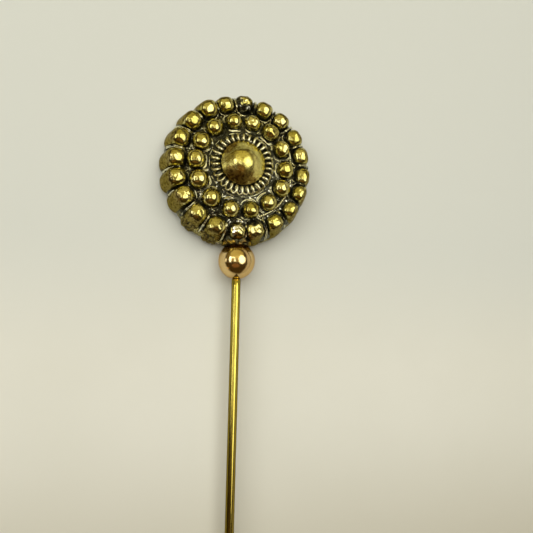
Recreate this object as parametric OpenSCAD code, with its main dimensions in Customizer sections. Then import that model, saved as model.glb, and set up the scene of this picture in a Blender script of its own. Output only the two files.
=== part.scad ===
// Stick pin: a cast button head with two rings of beads and a coil round a dome, a ball
// collar under it and a straight pointed stem. The head lies on its flat back at Z = 0,
// its axis is Z, and the stem runs towards -Y. Millimetres.

/* [Head] */
// Height of the middle of the face above the back
face_h = 4.45; // [4.3:0.05:4.7]
// Radius of the slightly domed face
face_curve_r = 20; // [16:0.5:40]
// Radius of the rounded edge between the face and the back
edge_curve_r = 2.45; // [2.3:0.05:2.55]
// Radius from the head's axis to the middle of the edge's curve
edge_centre_r = 6.1; // [6:0.05:6.2]

/* [Dome] */
// Radius of the dome where it leaves its foot
dome_r = 2.44; // [2.3:0.02:2.5]
// Radius of the dome's rounded top
dome_curve_r = 2.35; // [2:0.05:2.5]
// Slope of the dome's side below the rounded top, degrees
dome_slope = 44; // [35:1:55]
// Height above the back at which the dome leaves its foot
dome_foot_h = 5; // [4.75:0.05:5.2]

/* [Coil] */
// Number of turns in the coil round the dome
coil_turns = 30; // [24:1:34]
// Radius from the head's axis to the middle of the coil
coil_ring_r = 2.98; // [2.95:0.01:3.1]
// Radius of one turn, to the middle of its wire
turn_r = 0.46; // [0.42:0.01:0.5]
// Depth of the middle of a turn below the middle of the face
turn_sink = 0.04; // [0:0.01:0.1]
// Thickness of the coiled wire
coil_wire_d = 0.32; // [0.24:0.02:0.34]
// Lean of each turn out of the radial direction, degrees
turn_lean = 9; // [0:1:15]

/* [Inner beads] */
// Number of round beads in the inner ring
inner_count = 14; // [12:1:15]
// Radius from the head's axis to the middle of the inner beads
inner_ring_r = 5.1; // [5.0:0.01:5.15]
// Diameter of an inner bead
inner_bead_d = 1.94; // [1.6:0.02:2]
// Height of the middle of the inner beads above the back
inner_bead_h = 3.95; // [3.8:0.05:4.2]
// Direction of the first inner bead, degrees from +X
inner_start = 101.5; // [90:0.5:115]

/* [Outer beads] */
// Number of long beads that lie over the edge
outer_count = 20; // [16:1:21]
// Thickness of an outer bead at its upper round end
outer_high_d = 1.96; // [1.7:0.02:2.06]
// Radius from the head's axis to the bead's upper round end
outer_high_r = 7.35; // [7.2:0.01:7.4]
// Height of the bead's upper round end above the back
outer_high_h = 3.25; // [3.1:0.05:3.5]
// Thickness of an outer bead at its lower round end
outer_low_d = 2.14; // [2:0.02:2.16]
// Radius from the head's axis to the bead's lower round end
outer_low_r = 7.72; // [7.65:0.01:7.8]
// Height of the bead's lower round end above the back
outer_low_h = 1.1; // [1.08:0.01:1.15]
// Thickness of the bead between its ends, as a share of the ends
outer_waist = 0.98; // [0.95:0.01:0.98]
// Direction of the first outer bead, degrees from +X
outer_start = 105; // [96:0.5:114]

/* [Ball collar] */
// Diameter of the ball under the head
ball_d = 4.15; // [3:0.05:4.2]
// Depth to which the ball is let into the edge of the head
ball_sink = 0.35; // [0.1:0.05:0.4]
// Gap between the ball and the head
ball_gap = 0.05; // [0.03:0.01:0.1]

/* [Stem] */
// Diameter of the stem's wire
stem_d = 1; // [0.9:0.05:1.2]
// Height of the stem's axis above the back
stem_h = 2.15; // [2.1:0.05:2.6]
// Diameter of the stepped-down end that is seated in the ball and the head
seat_d = 0.6; // [0.4:0.05:0.65]
// Length of wire seated in the head, measured from the ball
seat_length = 3.6; // [2:0.1:5]
// Length of the whole pin, from the head's far edge to the point
pin_length = 76; // [60:1:100]
// Length of the tapered point
point_length = 7; // [4:0.5:12]
// Diameter at the very tip
tip_d = 0.12; // [0.1:0.02:0.3]
// Clearance round the seated end in the ball and in the head
seat_clearance = 0.03; // [0.02:0.01:0.05]

/* [Hidden] */

// Sides of a drawn circle: long arcs of an outline, whole rounds, and thin wires
arc_sides = 240;
round_sides = 96;
wire_sides = 32;
// How far a cutting or bounding shape runs past what it cuts
over = 1;

edge_out_r = outer_low_r + outer_low_d / 2;
ball_y = ball_sink - edge_out_r - ball_d / 2;
seat_y = ball_y + ball_d / 2 + seat_length;
shoulder_y = ball_y - ball_d / 2;
tip_y = edge_out_r - pin_length;

// Back, edge and face of the casting, under its relief
module head_ground() {
    rotate_extrude($fn = round_sides)
        intersection() {
            translate([0, face_h - face_curve_r]) circle(r = face_curve_r, $fn = arc_sides);
            union() {
                square([edge_centre_r, face_h + over]);
                translate([edge_centre_r, outer_low_h]) circle(r = edge_curve_r, $fn = arc_sides);
            }
            square([edge_out_r, face_h + over]);
        }
}

// Dome in the middle: a rounded top that runs into a straight side, on a short straight foot
module dome() {
    side_r = dome_curve_r * sin(dome_slope);
    side_h = dome_foot_h + (dome_r - side_r) * tan(dome_slope);
    curve_h = side_h - dome_curve_r * cos(dome_slope);
    rotate_extrude($fn = round_sides)
        intersection() {
            union() {
                translate([0, curve_h]) circle(r = dome_curve_r, $fn = arc_sides);
                polygon([
                    [0, curve_h],
                    [side_r, side_h],
                    [dome_r, dome_foot_h],
                    [dome_r, face_h - over],
                    [0, face_h - over]
                ]);
            }
            translate([0, face_h - over]) square([dome_r, dome_curve_r + 3 * over]);
        }
}

// Coil of wire bent into a ring, half sunk in the face
module coil() {
    for (i = [0 : coil_turns - 1])
        rotate([0, 0, i * 360 / coil_turns])
            translate([coil_ring_r, 0, face_h - turn_sink])
                rotate([90, 0, turn_lean])
                    rotate_extrude($fn = wire_sides)
                        translate([turn_r, 0]) circle(d = coil_wire_d, $fn = wire_sides / 2);
}

module inner_beads() {
    for (i = [0 : inner_count - 1])
        rotate([0, 0, inner_start - i * 360 / inner_count])
            translate([inner_ring_r, 0, inner_bead_h]) sphere(d = inner_bead_d, $fn = round_sides / 2);
}

// One long bead with round ends, thicker at the lower one, leaning in over the edge
module outer_bead() {
    lean_r = outer_high_r - outer_low_r;
    lean_h = outer_high_h - outer_low_h;
    run = norm([lean_r, lean_h]);
    translate([outer_low_r, 0, outer_low_h])
        rotate([0, atan2(lean_r, lean_h), 0])
            rotate_extrude($fn = round_sides / 2)
                intersection() {
                    union() {
                        circle(d = outer_low_d, $fn = round_sides);
                        translate([0, run]) circle(d = outer_high_d, $fn = round_sides);
                        polygon([
                            [0, 0],
                            [outer_low_d / 2 * outer_waist, 0],
                            [outer_high_d / 2 * outer_waist, run],
                            [0, run]
                        ]);
                    }
                    translate([0, -outer_low_d]) square([outer_low_d, run + 2 * outer_low_d]);
                }
}

module outer_beads() {
    for (i = [0 : outer_count - 1])
        rotate([0, 0, outer_start - i * 360 / outer_count]) outer_bead();
}

// Room for the seated end of the stem, with its clearance
module seat_bore(y_from, y_to) {
    translate([0, y_from, stem_h])
        rotate([90, 0, 0])
            cylinder(r = seat_d / 2 + seat_clearance, h = y_from - y_to, $fn = round_sides / 2);
}

module head() {
    color("darkgoldenrod")
        difference() {
            union() {
                head_ground();
                dome();
                coil();
                inner_beads();
                outer_beads();
            }
            seat_bore(seat_y + seat_clearance, ball_y);
            translate([0, ball_y, stem_h]) sphere(d = ball_d + 2 * ball_gap, $fn = round_sides);
        }
}

module ball_collar() {
    color("goldenrod")
        difference() {
            translate([0, ball_y, stem_h]) sphere(d = ball_d, $fn = round_sides);
            seat_bore(ball_y + ball_d, ball_y - ball_d);
        }
}

// Seated end, shoulder against the ball, shaft and point
module pin_stem() {
    shoulder_l = seat_y - shoulder_y;
    whole_l = seat_y - tip_y;
    color("gold")
        translate([0, seat_y, stem_h])
            rotate([90, 0, 0])
                rotate_extrude($fn = round_sides / 2)
                    polygon([
                        [0, 0],
                        [seat_d / 2, 0],
                        [seat_d / 2, shoulder_l],
                        [stem_d / 2, shoulder_l],
                        [stem_d / 2, whole_l - point_length],
                        [tip_d / 2, whole_l],
                        [0, whole_l]
                    ]);
}

head();
ball_collar();
pin_stem();
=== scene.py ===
# Looks of the stick pin: beaded cast head, gilt ball and drawn wire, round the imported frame
from math import asin, atan2, cos, pi, radians, sin, sqrt

import bmesh
import bpy
import numpy as np
from mathutils import Matrix, Vector


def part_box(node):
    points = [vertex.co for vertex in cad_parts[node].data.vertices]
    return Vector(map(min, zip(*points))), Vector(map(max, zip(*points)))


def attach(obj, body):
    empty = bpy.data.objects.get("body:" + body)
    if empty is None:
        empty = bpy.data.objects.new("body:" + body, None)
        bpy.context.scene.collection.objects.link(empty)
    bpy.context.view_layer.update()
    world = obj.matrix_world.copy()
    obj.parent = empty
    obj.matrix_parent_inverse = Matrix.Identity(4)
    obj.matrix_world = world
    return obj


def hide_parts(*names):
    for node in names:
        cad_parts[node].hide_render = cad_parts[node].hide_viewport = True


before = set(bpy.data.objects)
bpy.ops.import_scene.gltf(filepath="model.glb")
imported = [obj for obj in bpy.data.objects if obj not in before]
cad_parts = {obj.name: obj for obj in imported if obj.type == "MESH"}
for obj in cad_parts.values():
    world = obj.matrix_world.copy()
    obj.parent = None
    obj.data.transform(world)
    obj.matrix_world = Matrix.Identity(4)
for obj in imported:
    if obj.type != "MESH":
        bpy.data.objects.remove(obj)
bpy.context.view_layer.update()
mm = 0.001
print("frame loaded:", sorted(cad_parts))

# A dictionary of settings whose entries also read as settings.name
class Settings(dict):
    __getattr__ = dict.__getitem__


# The rows of a table, each as settings named by the table's columns
def rowsOf(table):
    return [Settings(zip(table.columns, values)) for values in table.rows]


# Puts a new object into the scene
def added(name, data):
    thing = bpy.data.objects.new(name, data)
    bpy.context.scene.collection.objects.link(thing)
    return thing


# Camera: the photograph's place and angle, in the head's own axes
photoView = Settings(
    place=(-11.63, -17.09, 61.05),  # mm from the middle of the head's back
    axis=(0.24894, 0.09951, -0.96339),
    up=(-0.0439, 0.99484, 0.09141),
    lens=36,
    sensor=36,
    nearest=1 * mm,
)
viewAxis = Vector(photoView.axis).normalized()
viewRight = viewAxis.cross(Vector(photoView.up)).normalized()
viewUp = viewRight.cross(viewAxis).normalized()


# A direction given as the photograph sees it: to the right, up, and back at the camera
def fromPhoto(right, up, back):
    return (viewRight * right + viewUp * up - viewAxis * back).normalized()


def makeCamera(name, view):
    data = bpy.data.cameras.new(name)
    data.lens = view.lens
    data.sensor_width = view.sensor
    data.clip_start = view.nearest
    camera = added(name, data)
    camera.matrix_world = Matrix((viewRight, viewUp, -viewAxis)).transposed().to_4x4()
    camera.location = Vector(view.place) * mm
    bpy.context.scene.camera = camera


makeCamera("photoCamera", photoView)
bpy.context.scene.view_settings.view_transform = "Standard"
print("camera set")


# One socket of a material's nodes, so that masks can be written as sums
class Wire:
    def __init__(self, sheet, socket):
        self.sheet = sheet
        self.socket = socket

    def sum(self, operation, *others):
        node = self.sheet.tree.nodes.new("ShaderNodeMath")
        node.operation = operation
        for slot, value in zip(node.inputs, (self, *others)):
            self.sheet.plug(slot, value)
        return Wire(self.sheet, node.outputs[0])

    def __add__(self, other):
        return self.sum("ADD", other)

    def __sub__(self, other):
        return self.sum("SUBTRACT", other)

    def __rsub__(self, other):
        return self.sum("MULTIPLY_ADD", -1, other)

    def __mul__(self, other):
        return self.sum("MULTIPLY", other)

    __radd__, __rmul__ = __add__, __mul__

    def clamped(self):
        self.socket.node.use_clamp = True
        return self


# One material: makes its nodes and links them
class Finish:
    def __init__(self, name):
        self.material = bpy.data.materials.new(name)
        self.material.use_nodes = True
        self.tree = self.material.node_tree
        self.tree.nodes.clear()
        self.place = self.node("ShaderNodeTexCoord").Object
        self.shader = self.tree.nodes.new("ShaderNodeBsdfPrincipled")
        output = self.tree.nodes.new("ShaderNodeOutputMaterial")
        self.tree.links.new(self.shader.outputs[0], output.inputs[0])

    def plug(self, slot, value):
        if isinstance(value, Wire):
            self.tree.links.new(value.socket, slot)
        else:
            slot.default_value = value

    # Any node: its settings first, then values or links of its sockets; gives its outputs by name
    def node(self, kind, settings=None, **sockets):
        made = self.tree.nodes.new(kind)
        for key, value in (settings or {}).items():
            setattr(made, key, value)
        for key, value in sockets.items():
            self.plug(self.openSocket(made.inputs, key), value)
        return Outputs(self, made)

    def openSocket(self, inputs, key):
        if key[:2] == "at":
            return inputs[int(key[2:])]
        return inputs[key.replace("_", " ")]

    def noise(self, perMm, detail=3.0, rough=0.5, twist=0.0, place=None):
        made = self.node("ShaderNodeTexNoise", Vector=place or self.place, Scale=perMm / mm,
                         Detail=detail, Roughness=rough, Distortion=twist)
        return made.Fac

    # The same step as smooth below, made of nodes
    def step(self, value, low, high):
        made = self.node("ShaderNodeMapRange", {"interpolation_type": "SMOOTHSTEP"},
                         Value=value, From_Min=low, From_Max=high)
        return made.Result

    def mix(self, factor, first, second):
        made = self.node("ShaderNodeMix", {"data_type": "RGBA"}, at0=factor, at6=rgba(first),
                         at7=rgba(second))
        return Wire(self, made.made.outputs[2])

    # Lays colours over a tone one after another, each through its mask
    def layered(self, tone, *layers):
        for mask, colour in layers:
            tone = self.mix(mask, tone, colour)
        return tone

    def attribute(self, name):
        return self.node("ShaderNodeAttribute", {"attribute_name": name}).Fac

    # Place along Y, in metres
    def along(self):
        return self.node("ShaderNodeSeparateXYZ", Vector=self.place).Y

    # 1 in the open, down to 0 where other surfaces stand within reach
    def openness(self, reachMm):
        made = self.node("ShaderNodeAmbientOcclusion", {"samples": 8}, Distance=reachMm * mm)
        return made.AO

    def bump(self, height, strength, depth):
        return self.node("ShaderNodeBump", Height=height, Strength=strength, Distance=depth * mm).Normal

    def dress(self, **sockets):
        for key, value in sockets.items():
            self.plug(self.openSocket(self.shader.inputs, key), rgba(value))


class Outputs:
    def __init__(self, finish, made):
        self.finish = finish
        self.made = made

    def __getattr__(self, name):
        return Wire(self.finish, self.made.outputs[name])


def rgba(colour):
    return (*colour, 1) if isinstance(colour, tuple) and len(colour) == 3 else colour


# Large numbers that stir a place and a seed into a fixed random value, and how many such values there are
stir = Settings(
    place=(73856093, 19349663, 83492791), seed=2654435, first=1274126177, second=668265263,
    kept=0x7FFFFFFF, span=100003)


# A fixed random number from -1 to 1 for each whole-numbered place
def scatter(place, seed):
    key = place @ np.array(stir.place) + seed * stir.seed
    key = (key ^ (key >> 13)) * stir.first & stir.kept
    key = (key ^ (key >> 15)) * stir.second & stir.kept
    return (key % stir.span) / (stir.span / 2) - 1


# 0 below the first value, 1 above the second, smooth between
def smooth(value, low, high):
    part = np.clip((value - low) / (high - low), 0, 1)
    return part * part * (3 - 2 * part)


# 1 up to the first value, 0 past the second, smooth between
def fade(value, full, gone):
    return smooth(-value, -gone, -full)


# Smooth lumps from -1 to 1 at each point; size is about the width of one lump
def lumps(points, size, seed):
    seedShift = 5.17  # in cells, so that no two seeds share their places
    cell = np.asarray(points) / size + seed * seedShift
    base = np.floor(cell).astype(np.int64)
    part = smooth(cell - base, 0, 1)
    total = np.zeros(len(cell))
    for corner in np.ndindex(2, 2, 2):
        value = scatter(base + corner, seed)
        total += value * np.prod(np.where(corner, part, 1 - part), axis=1)
    return total


# A value that drifts about its middle by a swing, in lumps of a size
def patchy(points, middle, swing, size, seed):
    return middle + swing * lumps(points, size, seed)


# Lumps of several sizes added up; the table gives the size and the depth of each, in mm
def lumpy(points, table, seed):
    return sum(depth * lumps(points, size, seed + k) for k, (size, depth) in enumerate(table))


# A path with every point pushed about a little
def crumpled(path, amount, seed, size=0.55):
    return path + amount * np.stack([lumps(path, size, seed + k) for k in range(3)], axis=1)


# Round grains packed side by side: 1 on top of a grain and 0 between two
def grains(points, size, seed):
    stray, fall = 0.38, 1.6  # how far a grain lies off its place, and how fast it falls off
    cell = np.asarray(points) / size
    base = np.floor(cell).astype(np.int64)
    nearest = np.full(len(cell), np.inf)
    for corner in np.ndindex(3, 3, 3):
        home = base + corner - 1
        centre = home + 0.5 + stray * np.stack([scatter(home, seed + k) for k in range(3)], axis=1)
        nearest = np.minimum(nearest, ((cell - centre) ** 2).sum(axis=1))
    return np.clip(1 - nearest * fall, 0, 1)


# Directions evenly round a whole turn, in degrees unless another turn is given
def evenTurn(count, whole=360):
    return np.arange(count) / count * whole


# Faces of a grid of points. Each row closes on itself, and the last row meets the first if asked
def gridFaces(rows, columns, closeRows=False):
    row = np.arange(rows if closeRows else rows - 1)[:, None]
    column = np.arange(columns)[None, :]
    nextRow, nextColumn = (row + 1) % rows, (column + 1) % columns
    corners = [row * columns + column, row * columns + nextColumn,
               nextRow * columns + nextColumn, nextRow * columns + column]
    return np.stack(np.broadcast_arrays(*corners), axis=-1).reshape(-1, 4)


# Closes the first and last rows of a grid with a point each
def capFaces(rows, columns):
    ring = np.arange(columns)
    last = (rows - 1) * columns + ring
    tipA, tipB = rows * columns, rows * columns + 1
    lower = [(tipA, int(b), int(a)) for a, b in zip(ring, np.roll(ring, -1))]
    upper = [(tipB, int(a), int(b)) for a, b in zip(last, np.roll(last, -1))]
    return lower + upper


def closedFaces(rows, columns):
    return list(gridFaces(rows, columns)) + capFaces(rows, columns)


# A part is its points in mm, its faces, and a value for each point of every named layer
def part(points, faces, **layers):
    count = len(points)
    spread = {key: np.broadcast_to(np.asarray(value, float), (count,)) for key, value in layers.items()}
    faces = [tuple(int(i) for i in corners) for corners in faces]
    return Settings(points=np.asarray(points, float), faces=faces, layers=spread)


def joined(parts):
    faces, start = [], 0
    for one in parts:
        faces += [tuple(i + start for i in corners) for corners in one.faces]
        start += len(one.points)
    names = set().union(*(one.layers for one in parts))
    layers = {}
    for name in sorted(names):
        values = [one.layers.get(name, np.zeros(len(one.points))) for one in parts]
        layers[name] = np.concatenate(values)
    return Settings(points=np.concatenate([one.points for one in parts]), faces=faces, layers=layers)


# Makes the Blender object, turns its faces outward, and fastens it to the frame
def piece(name, made, material, node):
    mesh = bpy.data.meshes.new(name)
    mesh.from_pydata((made.points * mm).tolist(), [], made.faces)
    for key, values in made.layers.items():
        layer = mesh.attributes.new(key, "FLOAT", "POINT")
        layer.data.foreach_set("value", values.astype(np.float32))
    shell = bmesh.new()
    shell.from_mesh(mesh)
    bmesh.ops.recalc_face_normals(shell, faces=shell.faces)
    shell.to_mesh(mesh)
    shell.free()
    mesh.polygons.foreach_set("use_smooth", [True] * len(mesh.polygons))
    mesh.materials.append(material)
    thing = added(name, mesh)
    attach(thing, "root")
    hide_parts(node)
    print(name, "faces:", len(mesh.polygons))


# Round wire along a path of points; its thickness may change along the way
def tube(path, radius, sides, closed=False):
    path = np.asarray(path, float)
    count = len(path)
    radius = np.broadcast_to(radius, (count,))
    if closed:
        along = np.roll(path, -1, axis=0) - np.roll(path, 1, axis=0)
    else:
        along = np.gradient(path, axis=0)
    along /= np.linalg.norm(along, axis=1)[:, None]
    slant = (0.03, 0.05, 1.0)  # a direction that no wire runs along
    side = np.cross(along[0], slant)
    sidesOut = []
    for direction in along:
        side = side - direction * np.dot(side, direction)
        side /= np.linalg.norm(side)
        sidesOut.append(side)
    sideA = np.array(sidesOut)
    if closed:  # spreads the leftover twist evenly, so that the last ring meets the first
        start = sidesOut[0] - along[-1] * np.dot(sidesOut[0], along[-1])
        over = np.cross(along[-1], sideA[-1])
        twist = atan2(np.dot(start, over), np.dot(start, sideA[-1]))
        turn = np.linspace(0, twist, count)[:, None]
        sideA = sideA * np.cos(turn) + np.cross(along, sideA) * np.sin(turn)
    sideB = np.cross(along, sideA)
    around = evenTurn(sides, 2 * pi)
    acrossA, acrossB = np.cos(around)[None, :, None], np.sin(around)[None, :, None]
    rings = path[:, None] + radius[:, None, None] * (sideA[:, None] * acrossA + sideB[:, None] * acrossB)
    points = rings.reshape(-1, 3)
    if closed:
        return points, gridFaces(count, sides, closeRows=True)
    return np.concatenate([points, path[:1], path[-1:]]), closedFaces(count, sides)


# Sizes that the pieces of the head share, all in mm and degrees
head = Settings(
    faceH=4.45, faceCurveR=20, edgeCurveR=2.45, edgeCentreR=6.1, edgeCentreH=1.1,
    innerCount=14, innerStart=101.5, innerRingR=5.10, innerH=3.95, innerR=0.97,
    outerCount=20, outerStart=105,
    outerHigh=(7.35, 3.25), outerHighR=0.98, outerLow=(7.72, 1.10), outerLowR=1.07,
    coilRingR=2.98, coilH=4.45,
)


# Outline of the ground, from the axis over the face and down the edge to the back
def groundOutline():
    joinR, tries, steps = 6.3, 40, 60
    for _ in range(tries):  # closes in on the radius where the face's curve meets the edge's curve
        faceH = head.faceH - head.faceCurveR + sqrt(head.faceCurveR ** 2 - joinR ** 2)
        overEdge = faceH - head.edgeCentreH
        joinR = head.edgeCentreR + sqrt(max(head.edgeCurveR ** 2 - overEdge ** 2, 0))
    face = np.linspace(0, joinR, steps)
    faceZ = head.faceH - head.faceCurveR + np.sqrt(head.faceCurveR ** 2 - face ** 2)
    high = asin((faceZ[-1] - head.edgeCentreH) / head.edgeCurveR)
    low = -asin(head.edgeCentreH / head.edgeCurveR)
    turn = np.linspace(high, low, steps)[1:]
    edge = head.edgeCentreR + head.edgeCurveR * np.cos(turn)
    edgeZ = head.edgeCentreH + head.edgeCurveR * np.sin(turn)
    outline = np.concatenate([np.stack([face, faceZ], 1), np.stack([edge, edgeZ], 1)])
    run = np.concatenate([[0], np.cumsum(np.linalg.norm(np.diff(outline, axis=0), axis=1))])
    return run, outline


groundRun, groundLine = groundOutline()


# Radius and height of the bare outline at a distance along it
def onLine(run):
    return np.interp(run, groundRun, groundLine[:, 0]), np.interp(run, groundRun, groundLine[:, 1])


# Radius and height on the ground at a distance along its outline, lifted off it if asked
def onGround(run, lift=0.0):
    step = 0.02
    r, z = onLine(run)
    rAhead, zAhead = onLine(run + step)
    rBehind, zBehind = onLine(run - step)
    dr, dz = rAhead - rBehind, zAhead - zBehind
    size = np.sqrt(dr ** 2 + dz ** 2) + 1e-9
    return r - lift * dz / size, z + lift * dr / size


# How far outward and upward one mm straight off the ground leads
def offGround(run):
    (liftR, liftZ), (r, z) = onGround(run, 1.0), onGround(run)
    return liftR - r, liftZ - z


# Direction of one of the beads spaced evenly round a ring, in degrees
def beadTurn(ring, i):
    return head[ring + "Start"] - i * 360 / head[ring + "Count"]


# Points round the head's axis from radii, heights and directions in degrees
def spun(r, z, turn):
    turn = np.radians(turn)
    r, z, turn = np.broadcast_arrays(r, z, turn)
    return np.stack([r * np.cos(turn), r * np.sin(turn), z], axis=-1)


# A grid of such points: a row for each radius and height, a column for each direction
def spunGrid(r, z, turn):
    return spun(r[:, None], z[:, None], turn).reshape(-1, 3)


# Patterns of the old brass: spots per mm, detail, roughness and twist
brassNoise = Settings(
    drift=(0.55, 3), cloud=(2.2, 4, 0.6), fine=(9, 3, 0.6), specks=(5.5, 3, 0.6),
    wallSpecks=(3.2, 4, 0.6, 0.5), worn=(3.1, 2, 0.5, 0.4), scuff=(4.5, 4, 0.65, 0.6), pits=(26, 2))
# Masks made of some of them: where each begins and where it is full
brassMask = Settings(
    drift=(0.38, 0.64), cloud=(0.50, 0.72), specks=(0.50, 0.68), wallSpecks=(0.47, 0.60),
    fine=(0.42, 0.66))


# Polished high up, blackened in the hollows, with worn white spots, and darkened as painted shade where a
# piece marks it
def oldBrass(name, looks):
    finish = Finish(name)
    noise = Settings({key: finish.noise(*values) for key, values in brassNoise.items()})
    mask = Settings({key: finish.step(noise[key], *between) for key, between in brassMask.items()})
    cloud = noise.cloud - 0.5
    hollow = 1 - finish.openness(looks.hollowReach)
    # Black patina in the hollows, together with the painted shade that a piece marks in its dark layer
    dirtAndShade = finish.step(hollow * looks.hollowShare + cloud * looks.dirtBreakup
                       + finish.attribute("dark") * looks.darkShare, looks.dirtFrom, looks.dirtTo)
    # Tarnished sides of the beads; on the dome the same layer carries painted shade towards the rim
    wall = finish.step(finish.attribute("wall") + cloud * looks.wallBreakup, *looks.wallBetween)
    # The black laid down by the mask above, for patina and painted shade alike
    crust = finish.mix(mask.fine, looks.black, looks.blackLight)
    worn = finish.step(noise.worn, looks.whiteFrom, looks.whiteTo)
    white = (worn * dirtAndShade * looks.whiteShare + finish.attribute("white")).clamped()
    colour = finish.layered(
        looks.light, (mask.drift, looks.deep), (mask.cloud * looks.stainShare, looks.stain),
        (wall * looks.wallShare, looks.wallTone), (mask.specks * looks.speckShare, looks.speck),
        (mask.wallSpecks * wall, looks.wallSpeck), (dirtAndShade, crust), (white, looks.bare))
    black = dirtAndShade * (1 - white)
    rough = (looks.rough + (noise.scuff - 0.5) * looks.roughSpread + black * looks.dirtRough
             + finish.attribute("wall") * looks.wallRough)
    relief = (noise.scuff * (looks.scuffRelief + wall * looks.wallRelief)
              + noise.fine * looks.fineRelief + noise.pits * looks.pitRelief)
    finish.dress(Base_Color=colour, Metallic=1 - black * looks.dirtMatt, Roughness=rough.clamped(),
                 Normal=finish.bump(relief, looks.bump, looks.bumpDepth), IOR=looks.glassiness,
                 Specular_Tint=looks.edge)
    return finish.material


groundLooks = Settings(
    light=(0.50, 0.44, 0.17), deep=(0.36, 0.31, 0.11), stain=(0.20, 0.14, 0.04), stainShare=0.6,
    speck=(0.10, 0.06, 0.012), speckShare=0.3, wallTone=(0.29, 0.23, 0.08),
    wallSpeck=(0.075, 0.048, 0.014), edge=(0.66, 0.60, 0.39),
    black=(0.021, 0.020, 0.009), blackLight=(0.060, 0.058, 0.034), bare=(0.80, 0.79, 0.70),
    hollowReach=0.7, dirtBreakup=0.7, dirtFrom=0.10, dirtTo=0.50, whiteFrom=0.64,
    whiteShare=0.9, rough=0.16, roughSpread=0.20, dirtRough=0.02, dirtMatt=0.25,
    glassiness=1.5, bump=0.5, bumpDepth=0.04, hollowShare=1.25, darkShare=0.9,
    wallBetween=(0.3, 0.7), wallBreakup=0.8, wallShare=0.9, wallRough=0.12, whiteTo=0.69, scuffRelief=0.5,
    wallRelief=1.2, fineRelief=0.35, pitRelief=0.15,
)
beadLooks = Settings(
    groundLooks, light=(0.68, 0.62, 0.265), deep=(0.48, 0.425, 0.115), stain=(0.28, 0.22, 0.06),
    stainShare=0.5, speck=(0.17, 0.11, 0.02), speckShare=0.40, hollowReach=0.5, dirtBreakup=0.35,
    dirtFrom=0.50, dirtTo=0.90, whiteShare=0.0, rough=0.15, roughSpread=0.16, bump=0.45, bumpDepth=0.018)
# On the dome the wall tone and its specks paint shade towards the rim
domeLooks = Settings(
    beadLooks, light=(0.92, 0.84, 0.31), deep=(0.76, 0.67, 0.20), stain=(0.48, 0.39, 0.13),
    speck=(0.22, 0.15, 0.03), speckShare=0.55, wallTone=(0.34, 0.23, 0.05), wallSpeck=(0.12, 0.07, 0.015),
    rough=0.21, roughSpread=0.28, bump=0.65, bumpDepth=0.026)
wireLooks = Settings(
    beadLooks, light=(0.90, 0.88, 0.64), deep=(0.74, 0.69, 0.42), edge=(1.0, 1.0, 0.9), speckShare=0.2,
    dirtFrom=0.60, dirtTo=1.0, rough=0.24, stainShare=0.3)
solderLooks = Settings(
    groundLooks, light=(0.50, 0.32, 0.04), deep=(0.24, 0.12, 0.014), dirtFrom=0.30, dirtTo=0.80,
    whiteShare=0.0)
groundBrass = oldBrass("blackenedGround", Settings(groundLooks, edge=(0.9, 0.9, 0.8)))
beadBrass = oldBrass("beadBrass", beadLooks)
domeBrass = oldBrass("domeBrass", domeLooks)
wireBrass = oldBrass("wornWire", wireLooks)
solderBrass = oldBrass("scorchedSolder", solderLooks)
print("old brass mixed")

# Body of the casting under the relief: crumbly between the beads, grainy at one edge, flat behind
ground = Settings(
    columns=540, innerRun=0.3, innerRows=4, hiddenRun=2.0, fineStep=0.075,
    corner=((-0.01, 0.05), (-0.09, 0.0)), cornerRun=0.12,  # out from the edge, and height
    backRings=(7.9, 7.2, 6.2, 5.0, 3.6, 2.2, 1.0),
    backMarks=(0.012, 0.012, 0.6, 5), backBelow=0.03, flatBelow=0.001, backMiddleH=0.004,
    crumble=((0.60, 0.070), (0.26, 0.035), (0.12, 0.010)), crumbleFrom=(0.02, 0.5),
    grainEdge=(244, 30), grainSize=0.30, grainLift=0.20, grainRun=(8.4, 9.2), grainTop=1.2,
    grainFoot=-0.1, grainLight=0.9,
    lipEdge=(308, 24), lipLift=0.24, lipH=0.375, lipReach=(0.3, 0.48),
    # bare white blobs between the beads: across, along, and reach
    bareBlobs=((5.94, -1.68, 0.36), (5.43, -3.46, 0.26), (5.90, -3.30, 0.24), (-0.12, -6.27, 0.22),
               (0.30, -6.32, 0.26), (0.75, -6.42, 0.24), (-4.20, -0.90, 0.26), (-3.85, -0.88, 0.24)),
    blobFull=0.5, blobLift=0.14, blobWhite=(0.85, 0.5, 0.2, 12), dark=0.55, darkAbove=0.3,
)


# 1 near a direction, and 0 further from it than the half width, all in degrees
def nearTurn(turn, middle, halfWidth):
    fullShare = 0.45  # of the half width, within which it is 1
    away = (turn - middle + 180) % 360 - 180
    return fade(np.abs(away), halfWidth * fullShare, halfWidth)


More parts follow.
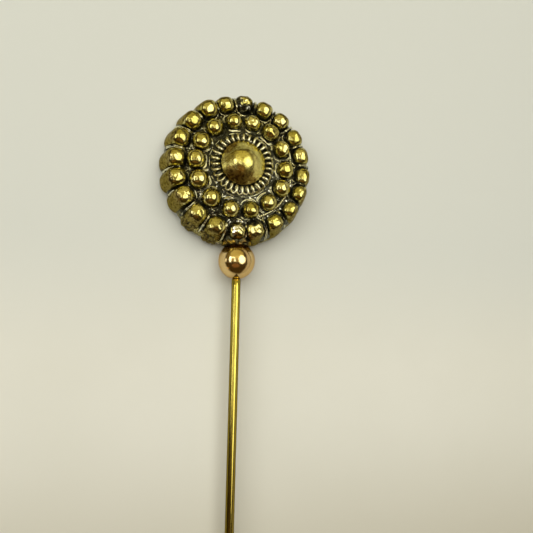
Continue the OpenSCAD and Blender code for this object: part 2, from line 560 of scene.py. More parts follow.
def makeGround(plan):
    fullRun = groundRun[-1]
    inner = np.linspace(plan.innerRun, plan.hiddenRun, plan.innerRows, endpoint=False)
    runs = np.concatenate([inner, np.arange(plan.hiddenRun, fullRun - plan.cornerRun, plan.fineStep)])
    r, z = onGround(runs)
    back = np.array(plan.backRings)
    edgeR, _ = onGround(fullRun)
    corner = np.array(plan.corner)
    r = np.concatenate([r, edgeR + corner[:, 0], back])
    z = np.concatenate([z, corner[:, 1], back * 0])
    rows = len(r)
    runs = np.concatenate([runs, np.full(rows - len(runs), fullRun)])
    turn = evenTurn(plan.columns)
    points = spunGrid(r, z, turn)
    run = np.repeat(runs, plan.columns)
    turns = np.tile(turn, rows)
    outward = spun(*offGround(run), turns)
    height = points[:, 2]
    above = smooth(height, *plan.crumbleFrom)
    grainy = nearTurn(turns, *plan.grainEdge) * smooth(run, *plan.grainRun)
    grain = grains(points, plan.grainSize, seed=11) * plan.grainTop + plan.grainFoot
    lip = nearTurn(turns, *plan.lipEdge) * fade(np.abs(height - plan.lipH), *plan.lipReach)
    blobs = sum(fade(np.hypot(points[:, 0] - x, points[:, 1] - y), reach * plan.blobFull, reach)
                for x, y, reach in plan.bareBlobs)
    blobs = np.minimum(blobs, 1) * above
    lift = (lumpy(points, plan.crumble, seed=0) + grainy * plan.grainLift * grain + lip * plan.lipLift
            + blobs * plan.blobLift)
    points = points + outward * lift[:, None] * above[:, None]
    backMarks = patchy(points, *plan.backMarks) * (height < plan.flatBelow)
    points[:, 2] = np.where(height < plan.backBelow, backMarks, points[:, 2])
    dark = np.where(height > plan.darkAbove, plan.dark, 0.0) - np.maximum(grainy * plan.grainLight, lip)
    white = blobs * patchy(points, *plan.blobWhite)
    tips = np.array([[0, 0, head.faceH], [0, 0, plan.backMiddleH]])
    return part(np.concatenate([points, tips]), closedFaces(rows, plan.columns),
                dark=np.concatenate([dark, [0, 0]]), white=np.concatenate([white, [0, 0]]))


piece("headGround", makeGround(ground), groundBrass, "head")


# Pushes points in or out by dents, each a place, a width and a depth, all in mm
def dented(points, outward, dents):
    push = np.zeros(len(points))
    for place, width, depth in dents:
        away = np.linalg.norm(points - np.asarray(place), axis=1)
        push -= depth * np.exp(-((away / width) ** 2))
    return points + outward * push[:, None]


# Dome in the middle with a few shallow knocks
dome = Settings(
    topCurveR=2.35, topLean=38, footR=2.44, footLean=50, footH=5.0, sunkH=4.2,
    aside=(0.02, 0.03), columns=160, topRings=30, skirtRings=24, footRings=8,
    firstLean=0.02, footDark=0.4, footDarkBetween=(4.85, 5.05), smokePatches=(1, 0.5, 0.5, 99),
    # painted shade: brown patches towards the rim: direction, reach, the radii between which they begin,
    # and share
    smoked=((258, 76, 1.0, 1.6, 0.85), (140, 50, 1.6, 2.1, 0.6)),
    lump=((1.5, 0.030), (0.6, 0.018), (0.25, 0.005)),
    knocks=(
        ((-0.35, 0.75, 6.7), 0.38, 0.045), ((-0.9, 0.2, 6.5), 0.30, 0.035), ((0.3, 0.1, 6.8), 0.30, 0.03),
        ((0.9, 1.0, 6.3), 0.35, 0.04), ((-1.3, -0.9, 6.1), 0.4, 0.04), ((1.3, -0.6, 6.2), 0.4, 0.03),
        ((-0.2, 1.6, 6.0), 0.5, 0.04), ((-1.7, 0.4, 5.9), 0.35, 0.03),
    ),
)


# Outline of the dome from its top down: a tight curve, then a flatter skirt, then a straight foot
def domeOutline(plan):
    topLean, footLean = radians(plan.topLean), radians(plan.footLean)
    joinR = plan.topCurveR * sin(topLean)
    skirtR = (plan.footR - joinR) / (sin(footLean) - sin(topLean))
    joinH = plan.footH + skirtR * (cos(topLean) - cos(footLean))
    top = np.linspace(plan.firstLean, topLean, plan.topRings)
    skirt = np.linspace(topLean, footLean, plan.skirtRings + 1)[1:]
    r = np.concatenate([plan.topCurveR * np.sin(top), joinR + skirtR * (np.sin(skirt) - sin(topLean)),
                        np.full(plan.footRings, plan.footR)])
    z = np.concatenate([joinH + plan.topCurveR * (np.cos(top) - cos(topLean)),
                        joinH - skirtR * (cos(topLean) - np.cos(skirt)),
                        np.linspace(plan.footH, plan.sunkH, plan.footRings + 1)[1:]])
    return r, z, joinH + plan.topCurveR * (1 - cos(topLean))


def makeDome(plan):
    r, z, topH = domeOutline(plan)
    points = spunGrid(r, z, evenTurn(plan.columns))
    points = np.concatenate([points, [[0, 0, topH], [0, 0, plan.sunkH]]])
    outward = points - np.array([0, 0, topH - plan.topCurveR])
    outward /= np.linalg.norm(outward, axis=1)[:, None]
    lift = lumpy(points, plan.lump, seed=20)
    points = dented(points + outward * lift[:, None], outward, plan.knocks)
    points[:, :2] += plan.aside
    low = fade(points[:, 2], *plan.footDarkBetween)
    turns = np.degrees(np.arctan2(points[:, 1], points[:, 0]))
    out = np.hypot(points[:, 0], points[:, 1])
    # Painted shade: the rim is browned in the given directions
    rimShade = sum(share * nearTurn(turns, middle, half) * smooth(out, begin, end)
                for middle, half, begin, end, share in plan.smoked)
    return part(points, closedFaces(len(r), plan.columns), dark=low * plan.footDark,
                wall=rimShade * patchy(points, *plan.smokePatches))


piece("dome", makeDome(dome), domeBrass, "head")

# Coil bent into a ring round the dome: one wire, wound evenly but squeezed here and there
coil = Settings(
    turns=30, turnR=0.46, wireR=0.16, stepsPerTurn=26, sides=10, squeeze=0.12,
    squeezeSize=0.9, flat=0.8, start=4, lean=3.0, square=2.0, wobble=0.03, wobbleSize=0.7,
    thickness=(1, 0.18, 0.5, 47), sunkDark=0.5, sunkBetween=(4.3, 4.55), openFlatter=0.5,
    crushed=((52, 16, 0.32), (12, 9, 0.15), (205, 8, 0.12)),  # direction, reach, and share
    opened=(243, 66, 0.26, 0.34),  # where a turn shows both sides: direction, reach, raised, and thinned
    dimmed=(30, 75, 0.35),  # where the turns are black: direction, reach, and share
)


def makeCoil(plan):
    turn = evenTurn(plan.turns * plan.stepsPerTurn)
    ringPath = spun(head.coilRingR, head.coilH, turn)
    loop = np.radians(turn * plan.turns + plan.start)
    size = plan.turnR * patchy(ringPath, 1, plan.squeeze, plan.squeezeSize, seed=41)
    crushed = sum(share * nearTurn(turn, middle, half) for middle, half, share in plan.crushed)
    middle, half, raised, thinned = plan.opened
    opened = nearTurn(turn, middle, half)
    flat = plan.flat * (1 - crushed) * (1 - plan.openFlatter * opened)
    path = spun(head.coilRingR + size * np.cos(loop),
                head.coilH + size * np.sin(loop) * flat + raised * opened,
                turn + plan.lean * np.sin(loop) + plan.square * np.cos(loop))
    path = crumpled(path, plan.wobble, seed=43, size=plan.wobbleSize)
    thick = plan.wireR * (1 - thinned * opened) * patchy(path, *plan.thickness)
    points, faces = tube(path, thick, plan.sides, closed=True)
    middle, half, share = plan.dimmed
    dim = share * nearTurn(np.repeat(turn, plan.sides), middle, half)
    return part(points, faces, dark=plan.sunkDark * fade(points[:, 2], *plan.sunkBetween) + dim)


piece("domeCoil", makeCoil(coil), wireBrass, "head")

# Round beads of the inner ring. Each row: turn and out shift its place (degrees, mm), size and stretch its
# shape (stretch is along the ring), knock is how deep its top is knocked about (mm), and dull how far the
# gold has gone
innerBeads = Settings(
    detail=4, lump=((0.55, 0.018), (0.24, 0.008), (0.12, 0.003)), squareness=2.2, rimDark=0.55,
    rimBetween=(0.05, 0.42), dullPatches=(0.75, 0.6, 0.35, 90),
    columns=("turn", "out", "size", "stretch", "knock", "dull"),
    rows=(
        (-0.3, -0.06, 0.93, 1.00, 0.02, 0), (1.3, 0, 0.95, 1.06, 0.08, 0.20),
        (2.0, 0.11, 1.00, 1.08, 0.12, 0.32), (2.1, 0, 1.00, 1.04, 0.12, 0.50),
        (0.3, -0.05, 1.02, 1.04, 0.05, 0.34), (1.6, 0.07, 1.04, 1.00, 0.05, 0.30),
        (1.8, 0, 0.96, 1.04, 0.03, 0.12), (1.9, 0, 1.00, 1.00, 0.03, 0.16),
        (1.9, 0, 1.03, 1.00, 0.02, 0), (0.1, 0, 1.11, 1.00, 0.02, 0),
        (-2.2, 0, 1.12, 1.00, 0.02, 0), (-1.7, 0, 1.08, 1.04, 0.02, 0),
        (-0.2, 0, 1.07, 0.96, 0.03, 0), (0.8, 0, 1.03, 0.98, 0.02, 0),
    ),
)


def roundBead(detail):
    shell = bmesh.new()
    bmesh.ops.create_icosphere(shell, subdivisions=detail, radius=1)
    shell.verts.ensure_lookup_table()
    points = np.array([v.co for v in shell.verts])
    faces = [[v.index for v in f.verts] for f in shell.faces]
    shell.free()
    return points, faces


# How much a round shape is filled out towards a box with soft corners; 2 leaves it round
def squared(unit, power):
    return (np.abs(unit) ** power).sum(axis=1) ** (-1 / power)


# Small irregular knocks on the top of a bead: two sizes of lump, a little sunk, and where they begin
knocks = Settings(lump=((0.42, 1.0), (0.2, 0.5)), sunk=0.3, between=(0.2, 0.7))


def knocked(points, unit, depth, seed):
    lift = lumpy(points, knocks.lump, seed) - knocks.sunk
    return smooth(unit[:, 2], *knocks.between) * depth * lift


def makeInnerBeads(plan):
    unit, faces = roundBead(plan.detail)
    made = []
    for i, row in enumerate(rowsOf(plan)):
        turn = beadTurn("inner", i) + row.turn
        place = spun(head.innerRingR + row.out, head.innerH, turn)
        alongRing = spun(1.0, 0.0, turn + 90)
        shaped = unit + alongRing * ((unit @ alongRing) * (row.stretch - 1))[:, None]
        points = place + shaped * (squared(unit, plan.squareness) * head.innerR * row.size)[:, None]
        lift = lumpy(points, plan.lump, seed=51) + knocked(points, unit, row.knock, seed=60 + i)
        rim = fade(unit[:, 2], *plan.rimBetween)
        dull = row.dull * patchy(points, *plan.dullPatches)
        made.append(part(points + unit * lift[:, None], faces, dark=rim * plan.rimDark + dull))
    return joined(made)


piece("innerBeads", makeInnerBeads(innerBeads), beadBrass, "head")

# Long beads that lie over the edge, same columns and one more: bare is how far the top has worn to white
# metal. A bead duller than fullyDull is scratched pale too
outerBeads = Settings(
    columnsRound=64, endRings=15, bodyRings=22, squareness=2.5, lowest=0.02,
    lump=((0.7, 0.022), (0.26, 0.010), (0.13, 0.003)), wallBetween=(0.35, 0.60),
    crust=0.20, crustBetween=(1.6, 2.6), crustGrain=(0.40, 0.85), crustSunk=0.4,
    crustDark=0.90, crustLight=1.2,
    buriedDark=0.6, inwardBetween=(0.1, 0.6), sideBetween=(0.70, 0.95),
    bareAbove=(0.62, 0.74), bareAboveDrift=(0, 0.25, 0.4, 95),
    bareTowards=(-0.6, 0.6, 0.0), bareBetween=(-0.20, 0.10), bareDrift=(0, 0.2, 0.3, 96),
    # painted shade by the ball: where it centres, how far it reaches, and its patches
    scorchedAt=(0, -9.2, 1.6), scorchReach=(1.3, 2.6), scorchPatches=(0.75, 0.3, 0.3, 98),
    dullPatches=(0.60, 0.45, 0.3, 97), fullyDull=1, scratch=0.6, scratchLumps=(0.55, 99),
    scratchBetween=(0.02, 0.10),
    columns=("turn", "out", "size", "stretch", "knock", "bare", "dull"),
    rows=(
        (0.2, -0.14, 1.02, 1.00, 0.02, 0, 0), (1.2, 0, 1.00, 1.06, 0.14, 0, 1.2),
        (0.5, -0.05, 1.02, 1.02, 0.02, 0, 0), (0.6, 0.04, 0.94, 1.10, 0.02, 0, 0),
        (-0.8, 0, 0.94, 1.12, 0.03, 0, 0), (-0.1, 0, 0.91, 1.20, 0.02, 0, 0),
        (-1.1, 0, 0.89, 1.22, 0.02, 0, 0), (1.1, 0.05, 0.90, 1.14, 0.03, 0, 0),
        (1.8, 0.07, 0.91, 1.10, 0.02, 0, 0), (0.9, 0, 0.98, 1.04, 0.03, 0, 0),
        (-0.8, -0.06, 1.08, 1.04, 0.10, 0, 0.62), (1.8, -0.05, 0.98, 1.00, 0.06, 1, 0),
        (0.5, 0, 1.13, 1.00, 0.04, 0, 0), (-0.6, -0.03, 1.14, 1.00, 0.05, 0, 0),
        (-1.8, -0.08, 1.17, 0.98, 0.04, 0, 0), (-1.0, -0.05, 1.19, 0.98, 0.04, 0, 0),
        (0.2, -0.10, 1.19, 0.98, 0.03, 0, 0), (-0.6, -0.03, 1.14, 0.98, 0.03, 0, 0),
        (-1.3, -0.03, 1.10, 1.00, 0.04, 0, 0), (-1.8, -0.02, 1.08, 1.00, 0.03, 0, 0),
    ),
)


# Long bead along Z with round ends, thicker at the lower one: outward directions, and how far up its axis
def longBead(plan, run):
    slope = asin((head.outerLowR - head.outerHighR) / run)
    lower = np.linspace(-pi / 2, slope, plan.endRings, endpoint=False)[1:]
    upper = np.linspace(slope, pi / 2, plan.endRings + 1)[1:-1]
    lean = np.concatenate([lower, np.full(plan.bodyRings, slope), upper])
    base = np.concatenate([lower * 0, np.linspace(0, 1, plan.bodyRings), upper * 0 + 1])
    unit = spunGrid(np.cos(lean), np.sin(lean), evenTurn(plan.columnsRound))
    unit = np.concatenate([unit, [[0, 0, -1], [0, 0, 1]]])
    base = np.concatenate([np.repeat(base, plan.columnsRound), [0, 1]])
    return unit, base, closedFaces(len(lean), plan.columnsRound)


def makeOuterBeads(plan):
    low, high = np.array(head.outerLow), np.array(head.outerHigh)
    run = float(np.linalg.norm(high - low))
    leanR, leanZ = (high - low) / run
    unit, base, faces = longBead(plan, run)
    made = []
    for i, row in enumerate(rowsOf(plan)):
        turn = beadTurn("outer", i) + row.turn
        out, side = spun(1.0, 0.0, turn), spun(1.0, 0.0, turn + 90)
        axis = out * leanR + np.array([0, 0, leanZ])
        facing = np.cross(side, axis)
        normal = unit[:, :1] * facing + unit[:, 1:2] * side * row.stretch + unit[:, 2:] * axis
        place = spun(low[0] + row.out, low[1], turn) + base[:, None] * run * axis
        thick = head.outerLowR + (head.outerHighR - head.outerLowR) * base
        thick = thick * squared(unit, plan.squareness) * row.size
        points = place + normal * thick[:, None]
        outness = normal @ out
        crusted = nearTurn(turn, *ground.grainEdge) * fade(points[:, 2] - outness, *plan.crustBetween)
        grain = smooth(grains(points, ground.grainSize, seed=12), *plan.crustGrain)
        lift = lumpy(points, plan.lump, seed=71) + knocked(points, normal, row.knock, seed=80 + i)
        lift = lift + crusted * plan.crust * (grain - plan.crustSunk)
        points = points + normal * lift[:, None]
        points[:, 2] = np.maximum(points[:, 2], plan.lowest)
        buried = smooth(-outness, *plan.inwardBetween) + smooth(np.abs(normal @ side), *plan.sideBetween)
        top = smooth(normal[:, 2] + patchy(points, *plan.bareAboveDrift), *plan.bareAbove)
        towards = normal @ np.array(plan.bareTowards) + patchy(points, *plan.bareDrift)
        bare = row.bare * top * smooth(towards, *plan.bareBetween)
        # Painted shade: the lower ends of the beads beside the ball are darkened, where the head meets the
        # ball
        fromBallShade = np.linalg.norm(points - np.array(plan.scorchedAt), axis=1)
        shadeNearBall = fade(fromBallShade, *plan.scorchReach) * patchy(points, *plan.scorchPatches)
        dull = row.dull * patchy(points, *plan.dullPatches)
        fromLine = np.abs(lumps(points, *plan.scratchLumps))
        scratches = plan.scratch * fade(fromLine, *plan.scratchBetween)
        crust = crusted * (plan.crustDark - plan.crustLight * grain)
        made.append(part(points, faces, dark=buried * plan.buriedDark + dull + shadeNearBall + crust,
                         wall=smooth(outness, *plan.wallBetween),
                         white=bare + scratches * (row.dull > plan.fullyDull)))
    return joined(made)


piece("outerBeads", makeOuterBeads(outerBeads), beadBrass, "head")

# Fine wires soldered between the beads: a ring round the coil, a double cell round each inner bead, a loop
# over each outer bead, and a twisted wire between the two rows of beads
cells = Settings(
    wireR=0.065, sides=6, lift=0.02, wander=0.07, patch=0.6,
    innerRuns=(4.02, 6.00), innerHalf=11.0, innerSteps=72, squareness=3.2, secondWider=0.10,
    outerTop=6.10, outerEnd=9.6, outerHalf=8.6, outerSteps=60, outerRise=0.60,
    outerBend=2.2, outerSides=0.42, outerSoft=0.7, riseFrom=(6.3, 6.9),
    fall=((0.3, 8.4, 9.2), (0.7, 7.6, 8.3)),  # share, and the runs between which it comes down
    ringRun=3.66, ringSteps=240, ringDark=0.30, cellDark=0.12, thickness=(1, 0.3, 0.5),
    dim=0.30, dimBetween=(-0.5, 0.1), blackBetween=(0.0, 0.35),
    innerSeeds=(101, 120), outerSeeds=(131, 160), ringSeeds=(161, 165),  # wander, and thickness
    secondSeed=20,  # added to the wander's seed for the second wire of a cell
)


# A wire that is dim, black for long stretches, and only here and there rubbed bright
def blackenedWire(path, plan, seeds, number, dark, closed=True):
    path = crumpled(path, plan.wander, seeds[0] + number)
    thick = plan.wireR * patchy(path, *plan.thickness, seeds[1])
    points, faces = tube(path, thick, plan.sides, closed=closed)
    dim = plan.dim * smooth(lumps(points, plan.patch / 2, seed=142), *plan.dimBetween)
    black = smooth(lumps(points, plan.patch, seed=141), *plan.blackBetween)
    return part(points, faces, dark=dim + black + dark)


def makeCells(plan):
    lowRun, highRun = plan.innerRuns
    steps = evenTurn(plan.innerSteps, 2 * pi)
    power = 2 / plan.squareness
    across = np.sign(np.cos(steps)) * np.abs(np.cos(steps)) ** power
    around = np.sign(np.sin(steps)) * np.abs(np.sin(steps)) ** power
    made = []
    for i, spread in np.ndindex(head.innerCount, 2):
        size = 1 + spread * plan.secondWider
        run = (lowRun + highRun) / 2 + across * (highRun - lowRun) / 2 * size
        path = spun(*onGround(run, plan.lift), beadTurn("inner", i) + around * plan.innerHalf * size)
        made.append(blackenedWire(path, plan, plan.innerSeeds, i + plan.secondSeed * spread, plan.cellDark))
    path = spun(*onGround(plan.ringRun, plan.lift), evenTurn(plan.ringSteps))
    made.append(blackenedWire(path, plan, plan.ringSeeds, 0, plan.ringDark))
    reach = np.linspace(-1, 1, plan.outerSteps)
    run = plan.outerTop + (plan.outerEnd - plan.outerTop) * np.abs(reach) ** plan.outerBend
    widened = np.minimum(np.abs(reach) / plan.outerSides, 1) ** plan.outerSoft
    half = plan.outerHalf * np.sign(reach) * widened
    fall = sum(share * fade(run, begin, end) for share, begin, end in plan.fall)
    r, z = onGround(run, plan.lift + plan.outerRise * smooth(run, *plan.riseFrom) * fall)
    for i in range(head.outerCount):
        path = spun(r, z, beadTurn("outer", i) + half)
        made.append(blackenedWire(path, plan, plan.outerSeeds, i, 0, closed=False))
    return joined(made)


piece("cellWires", makeCells(cells), wireBrass, "head")

# Twisted wire: it shows in one place and is sunk in the ground elsewhere
rope = Settings(
    run=6.10, strands=2, strandR=0.10, twistR=0.09, pitches=78, steps=1500, sides=7,
    shown=(318, 34), sunk=-0.17, lift=0.09, wobble=0.03,
)


def makeRope(plan):
    turn = evenTurn(plan.steps)
    lift = plan.sunk + (plan.lift - plan.sunk) * nearTurn(turn, *plan.shown)
    offR, offZ = offGround(plan.run)
    made = []
    for k in range(plan.strands):
        wind = np.radians(turn * plan.pitches + k * 360 / plan.strands)
        r, z = onGround(plan.run + plan.twistR * np.cos(wind))
        rise = lift + plan.twistR * np.sin(wind)
        path = spun(r + offR * rise, z + offZ * rise, turn)
        path = crumpled(path, plan.wobble, seed=171 + k)
        points, faces = tube(path, plan.strandR, plan.sides, closed=True)
        made.append(part(points, faces))
    return joined(made)


piece("twistedWire", makeRope(rope), wireBrass, "head")

# Small curl of stray wire at the lower edge, left of the ball
curl = Settings(
    place=(-1.95, -8.35, 1.35), loop=(0.20, 0.15, 0.12), tighter=0.3, rise=0.08,
    wireR=0.075, turns=1.3, steps=40, sides=8,
)


def makeCurl(plan):
    share = np.linspace(0, 1, plan.steps)
    wind = share * plan.turns * 2 * pi
    loop = np.stack([np.cos(wind), np.sin(wind), np.sin(wind)], axis=1) * np.array(plan.loop)
    path = np.array(plan.place) + loop * (1 - plan.tighter * share)[:, None]
    path[:, 2] += plan.rise * share
    points, faces = tube(path, plan.wireR, plan.sides)
    return part(points, faces)


# Lumpy scorched solder between the edge of the head and the ball, clear of the ball
solder = Settings(
    axisH=2.15, tall=0.72, columns=96, steps=7, lump=((0.45, 0.10), (0.2, 0.05)),
    outline=((0.50, -8.46), (1.00, -8.66), (1.40, -8.93), (1.64, -8.80), (1.72, -8.40), (1.70, -7.80)),
    middle=-8.0, smoothTo=(1.6, 3.0), darkPatches=(0.55, 0.45, 0.4, 155),
)


def makeSolder(plan):
    corners = np.array(plan.outline)
    at = np.linspace(0, len(corners) - 1, (len(corners) - 1) * plan.steps + 1)
    out = np.interp(at, np.arange(len(corners)), corners[:, 0])
    along = np.interp(at, np.arange(len(corners)), corners[:, 1])
    turn = evenTurn(plan.columns, 2 * pi)
    points = np.stack([out[:, None] * np.cos(turn), along[:, None] + 0 * turn,
                       plan.axisH + out[:, None] * np.sin(turn) * plan.tall], axis=-1).reshape(-1, 3)
    clear = np.repeat(smooth(at, *plan.smoothTo), plan.columns)  # keeps the face towards the ball smooth
    outward = points - np.array([0, plan.middle, plan.axisH])
    outward = outward / np.linalg.norm(outward, axis=1)[:, None]
    points = points + outward * (lumpy(points, plan.lump, seed=151) * clear)[:, None]
    tips = np.array([[0, corners[0, 1], plan.axisH], [0, corners[-1, 1], plan.axisH]])
    points = np.concatenate([points, tips])
    return part(points, closedFaces(len(at), plan.columns), dark=patchy(points, *plan.darkPatches))


piece("jointSolder", makeSolder(solder), solderBrass, "head")
piece("strayCurl", makeCurl(curl), wireBrass, "head")
print("head built")

# Ball under the head, drilled through along the stem
ball = Settings(
    r=2.075, boreR=0.33, columns=144, rings=110, boreRings=6, mouth=0.05, mouthDepth=0.03,
    aside=0.09, lump=((1.6, 0.008), (0.55, 0.005), (0.28, 0.0015)), outside=0.99,
    hoodBetween=(0.30, 0.85),
)
ballLow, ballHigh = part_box("ball_collar")
ballPlace = np.array((ballLow + ballHigh) / 2) / mm + np.array([ball.aside, 0, 0])


# Turned shape along the stem: rows of radius and distance towards the point, from a start along -Y
def turned(profile, start, columns):
    profile = np.asarray(profile, float)
    turn = evenTurn(columns, 2 * pi)
    r, along = profile[:, 0][:, None], profile[:, 1][:, None]
    points = [start[0] + r * np.cos(turn), start[1] - along + 0 * turn, start[2] + r * np.sin(turn)]
    return np.stack(points, axis=-1).reshape(-1, 3)


def makeBall(plan):
    edge = asin((plan.boreR + plan.mouth) / plan.r)
    lean = np.linspace(edge, pi - edge, plan.rings)
    outside = np.stack([plan.r * np.sin(lean), -plan.r * np.cos(lean)], axis=1)
    reach = outside[-1][1] - plan.mouthDepth
    boreAlong = np.linspace(reach, -reach, plan.boreRings)
    inside = np.stack([np.full(plan.boreRings, plan.boreR), boreAlong], axis=1)
    profile = np.concatenate([outside, inside])
    points = turned(profile, ballPlace, plan.columns)
    outward = points - ballPlace
    away = np.linalg.norm(outward, axis=1)
    lift = lumpy(points, plan.lump, seed=181) * (away > plan.r * plan.outside)
    points = points + outward / away[:, None] * lift[:, None]
    # Painted shade and painted reflection: the side of the ball under the head is marked to be darkened
    hood = smooth((points[:, 1] - ballPlace[1]) / plan.r, *plan.hoodBetween)
    return part(points, gridFaces(len(profile), plan.columns, closeRows=True), hood=hood)


# The darkest brown tone, laid on the ball's side under the head, is painted shade and a painted reflection
# of the head
giltLooks = Settings(
    light=(0.80, 0.60, 0.29), deep=(0.70, 0.50, 0.22), tarnish=(0.24, 0.13, 0.03),
    scorched=(0.20, 0.085, 0.012), edge=(0.80, 0.64, 0.48), hollowReach=0.8,
    haze=(0.5, 3), smear=(3.5, 4, 0.6, 0.8), fine=(14, 3, 0.6), breakup=0.5,
    hazeBetween=(0.35, 0.65), tarnishBetween=(0.45, 1.0), tarnishShare=0.75,
    hoodBetween=(0.35, 0.75), hoodShare=0.92, fineBetween=(0.55, 0.8),
    rough=0.13, smearRough=0.12, fineRough=0.06, tarnishRough=0.1, hoodRough=0.08,
    smearRelief=0.6, fineRelief=0.4, bump=0.45, bumpDepth=0.020,
)


# Polished gilt: hazy and smeared, tarnished in the hollows, and darkened under the head as painted shade
# and a painted reflection of the dark head
def giltFinish(looks):
    finish = Finish("polishedGilt")
    haze, smear, fine = (finish.noise(*looks[key]) for key in ("haze", "smear", "fine"))
    hollow = 1 - finish.openness(looks.hollowReach)
    drift = (smear - 0.5) * looks.breakup
    tarnish = finish.step(hollow + drift, *looks.tarnishBetween) * looks.tarnishShare
    hood = finish.step(finish.attribute("hood") + drift, *looks.hoodBetween)
    tone = finish.layered(looks.light, (finish.step(haze, *looks.hazeBetween), looks.deep),
                          (tarnish, looks.tarnish), (hood * looks.hoodShare, looks.scorched))
    rough = (looks.rough + (smear - 0.5) * looks.smearRough
             + finish.step(fine, *looks.fineBetween) * looks.fineRough
             + tarnish * looks.tarnishRough + hood * looks.hoodRough)
    relief = smear * looks.smearRelief + fine * looks.fineRelief
    finish.dress(Base_Color=tone, Metallic=1.0, Roughness=rough.clamped(), Specular_Tint=looks.edge,
                 Normal=finish.bump(relief, looks.bump, looks.bumpDepth))
    return finish.material


piece("ballCollar", makeBall(ball), giltFinish(giltLooks), "ball_collar")

# Stem: drawn wire with a long ground point
stem = Settings(
    columns=48, shaftStep=1.0, pointSteps=24, r=0.5, seatR=0.30, pointLength=7.0,
    tipR=0.06, sway=0.02, shoulder=0.04, flank=(0.35, 0.80),
    aside=(0.09, 0.002),  # at the ball, and how much less each mm on
    swayFrom=(14, 40), swaySide=(14, 191), swayUp=(11, 192),  # size of the bends, and seed
)
stemLow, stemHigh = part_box("pin_stem")
stemLength = (stemHigh.y - stemLow.y) / mm


def makeStem(plan):
    start = np.array([0, stemHigh.y / mm, (stemLow.z + stemHigh.z) / 2 / mm])
    shoulder = start[1] - (ballPlace[1] - ball.r)
    shaft = np.arange(shoulder + plan.shoulder, stemLength - plan.pointLength, plan.shaftStep)
    point = np.linspace(0, 1, plan.pointSteps)
    seat = [(plan.seatR, 0), (plan.seatR, shoulder), (plan.r - plan.shoulder, shoulder)]
    run = [(plan.r, at) for at in shaft]
    taper = [(plan.r + (plan.tipR - plan.r) * t, stemLength - plan.pointLength * (1 - t)) for t in point]
    profile = np.array(seat + run + taper)
    points = turned(profile, start, plan.columns)
    aside, straighter = plan.aside
    points[:, 0] += aside - straighter * np.maximum(0, ballPlace[1] - points[:, 1])
    sway = plan.sway * smooth(-points[:, 1], *plan.swayFrom)
    alongOnly = points * (0, 1, 0)
    points[:, 0] += sway * lumps(alongOnly, *plan.swaySide)
    points[:, 2] += sway * lumps(alongOnly, *plan.swayUp)
    tips = np.array([points[:plan.columns].mean(axis=0), points[-plan.columns:].mean(axis=0)])
    # Painted shade: the two sides of the wire that face left and right are marked to be darker
    across = np.tile(np.cos(evenTurn(plan.columns, 2 * pi)), len(profile))
    flank = smooth(np.abs(across), *plan.flank)
    return part(np.concatenate([points, tips]), closedFaces(len(profile), plan.columns),
                flank=np.concatenate([flank, [0, 0]]))


wireFinish = Settings(
    light=(0.66, 0.56, 0.12), deep=(0.55, 0.46, 0.09), stain=(0.30, 0.20, 0.03),
    # painted shade: a darker tone towards the lower end, and another along the sides
    dusk=(0.34, 0.24, 0.05), duskFrom=-17, duskTo=-38, duskDrift=8, duskShare=0.75,
    flank=(0.26, 0.20, 0.03), flankShare=0.85, flankBreakup=0.3, edge=(0.20, 0.15, 0.04),
    stretch=(1, 0.05, 1), drawn=(9, 3, 0.6), drift=(0.25, 3), spots=(2.6, 4, 0.65),
    driftBetween=(0.35, 0.65), stainBetween=(0.60, 0.80), stainBreakup=0.4, stainShare=0.5,
    rough=0.14, drawnRough=0.16, spotBetween=(0.55, 0.8), spotRough=0.08,
    drawnRelief=0.8, spotRelief=0.2, bump=0.25, bumpDepth=0.012,
)


# Bright wire with fine lengthwise marks and a few stains, with painted shade towards its lower end and
# along both sides
def drawnWire(looks):
    finish = Finish("brightDrawnWire")
    stretched = finish.node("ShaderNodeMapping", Vector=finish.place, Scale=looks.stretch).Vector
    drawn = finish.noise(*looks.drawn, place=stretched)
    drift, spots = finish.noise(*looks.drift), finish.noise(*looks.spots)
    stain = finish.step(spots + (drawn - 0.5) * looks.stainBreakup, *looks.stainBetween)
    # Painted shade towards the lower end of the wire, with a wavy border
    along = finish.along() + (drift - 0.5) * looks.duskDrift * mm
    lowShade = 1 - finish.step(along, looks.duskTo * mm, looks.duskFrom * mm)
    # Painted shade along both sides of the wire, a little broken up
    flank = finish.attribute("flank") * looks.flankShare + (spots - 0.5) * looks.flankBreakup
    tone = finish.layered(
        looks.light, (finish.step(drift, *looks.driftBetween), looks.deep),
        (stain * looks.stainShare, looks.stain), (lowShade * looks.duskShare, looks.dusk),
        (flank.clamped(), looks.flank))
    rough = (looks.rough + (drawn - 0.5) * looks.drawnRough
             + finish.step(spots, *looks.spotBetween) * looks.spotRough)
    relief = drawn * looks.drawnRelief + spots * looks.spotRelief
    finish.dress(Base_Color=tone, Metallic=1.0, Roughness=rough.clamped(), Specular_Tint=looks.edge,
                 Normal=finish.bump(relief, looks.bump, looks.bumpDepth))
    return finish.material


piece("pinStem", makeStem(stem), drawnWire(wireFinish), "pin_stem")
print("ball and stem built")

# Plain pale floor, a little uneven in tone, with painted shade over the top and towards the point of the
# stem
floor = Settings(
    half=1.5, colour=(0.89, 0.88, 0.79), shade=(0.855, 0.845, 0.75), rough=0.55,
    upper=(0.77, 0.785, 0.725), upperFrom=-24, upperTo=-6,  # painted shade past the head; mm along Y
    far=(0.60, 0.56, 0.44), farFrom=-26, farTo=-54,  # painted shade towards the point of the stem
    cloud=(0.035, 4), cloudBetween=(0.35, 0.7),
)


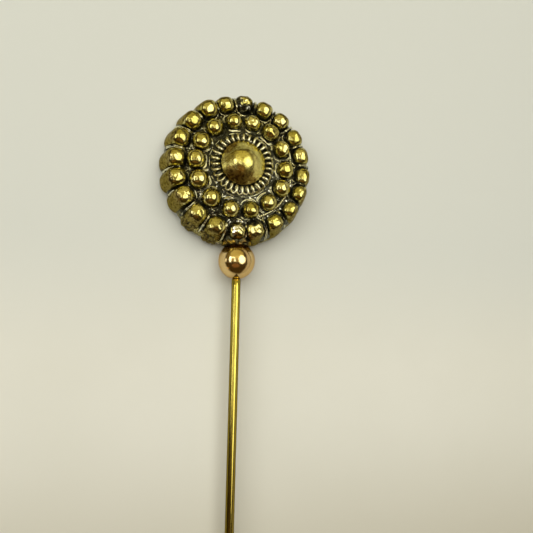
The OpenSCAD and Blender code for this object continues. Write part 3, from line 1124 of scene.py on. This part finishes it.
def makeFloor(plan):
    half = plan.half
    corners = [(-half, -half, 0), (half, -half, 0), (half, half, 0), (-half, half, 0)]
    mesh = bpy.data.meshes.new("floor")
    mesh.from_pydata(corners, [], [(0, 1, 2, 3)])
    finish = Finish("paleTable")
    cloud = finish.step(finish.noise(*plan.cloud), *plan.cloudBetween)
    # Painted shade: darker over the top and towards the point of the stem
    upper = finish.step(finish.along(), plan.upperFrom * mm, plan.upperTo * mm)
    near = finish.step(finish.along(), plan.farTo * mm, plan.farFrom * mm)
    tone = finish.layered(plan.colour, (cloud, plan.shade), (upper, plan.upper), (1 - near, plan.far))
    finish.dress(Base_Color=tone, Roughness=plan.rough)
    mesh.materials.append(finish.material)
    added("floor", mesh)


makeFloor(floor)

# Lamps: where each stands as the photograph sees it, its reach, width and height in m, colour, and
# strength, which is how bright its face looks. The shining ones are left out of reflections, and the
# others show in reflections only
lamps = Settings(
    shining=("keyLight", "sideLight", "skyLight"),
    round=("rightWindow", "farLeftPanel", "ceilingGlow", "dimCeiling", "midGlow", "handGlow",
              "paleBoard", "amberSpark"),
    middle=(0, 0, 3),  # what they all face, in mm
    columns=("name", "towards", "reach", "width", "height", "colour", "strength"),
    rows=(
        ("rightWindow", (0.60, 0.11, 0.79), 0.45, 0.34, 0.43, (1.0, 0.99, 0.86), 2.1),
        ("leftWindow", (-0.60, 0.12, 0.79), 0.45, 0.09, 0.24, (1.0, 1.0, 1.0), 3.4),
        ("frontWindow", (-0.12, 0.05, 0.99), 0.60, 0.09, 0.20, (1.0, 1.0, 1.0), 2.0),
        ("topOfFrame", (-0.37, 0.32, 0.87), 0.50, 0.26, 0.05, (1.0, 1.0, 0.95), 2.4),
        ("farLeftPanel", (-0.93, 0.05, 0.36), 0.50, 0.07, 0.14, (1.0, 0.98, 0.84), 1.5),
        ("ceilingGlow", (0.10, 0.70, 0.71), 0.50, 0.80, 0.56, (1.0, 0.88, 0.36), 0.33),
        ("dimCeiling", (-0.10, 0.55, 0.83), 0.62, 1.80, 1.00, (1.0, 0.84, 0.28), 0.10),
        ("midGlow", (0.02, 0.16, 0.98), 0.66, 1.10, 0.52, (1.0, 0.86, 0.46), 0.15),
        ("handGlow", (-0.05, -0.52, 0.85), 0.50, 0.40, 0.22, (1.0, 0.46, 0.18), 0.13),
        ("paleBoard", (0.98, -0.08, 0.04), 0.50, 0.24, 2.40, (1.0, 0.95, 0.78), 0.40),
        ("amberSpark", (-0.74, -0.63, 0.24), 0.50, 0.09, 0.09, (1.0, 0.60, 0.25), 1.2),
        ("keyLight", (-0.42, 0.36, 0.83), 0.50, 0.42, 0.42, (1.0, 1.0, 0.93), 2.3),
        ("sideLight", (0.42, 0.46, 0.78), 0.50, 0.42, 0.42, (1.0, 1.0, 0.93), 2.3),
        ("skyLight", (0.0, 0.2, 0.98), 0.80, 1.2, 1.2, (1.0, 0.99, 0.95), 0.20),
    ),
)


def makeLamps(table):
    middle = Vector(table.middle) * mm
    for row in rowsOf(table):
        data = bpy.data.lights.new(row.name, "AREA")
        data.shape = "ELLIPSE" if row.name in table.round else "RECTANGLE"
        data.size, data.size_y = row.width, row.height
        data.color = row.colour
        data.energy = row.strength * row.width * row.height * pi
        lamp = added(row.name, data)
        towards = fromPhoto(*row.towards)
        across = viewUp.cross(towards).normalized()
        lamp.matrix_world = Matrix((across, towards.cross(across), towards)).transposed().to_4x4()
        lamp.location = middle + towards * row.reach
        lamp.visible_camera = False
        lamp.visible_glossy = row.name not in table.shining
        lamp.visible_diffuse = row.name in table.shining


makeLamps(lamps)

# Dim warm room all round, which the metal shows where no lamp does
room = Settings(colour=(1.0, 0.62, 0.16), strength=0.06)


def makeRoom(settings):
    world = bpy.data.worlds.new("dimRoom")
    world.use_nodes = True
    background = world.node_tree.nodes["Background"].inputs
    background["Color"].default_value = rgba(settings.colour)
    background["Strength"].default_value = settings.strength
    bpy.context.scene.world = world


makeRoom(room)
print("lights set")
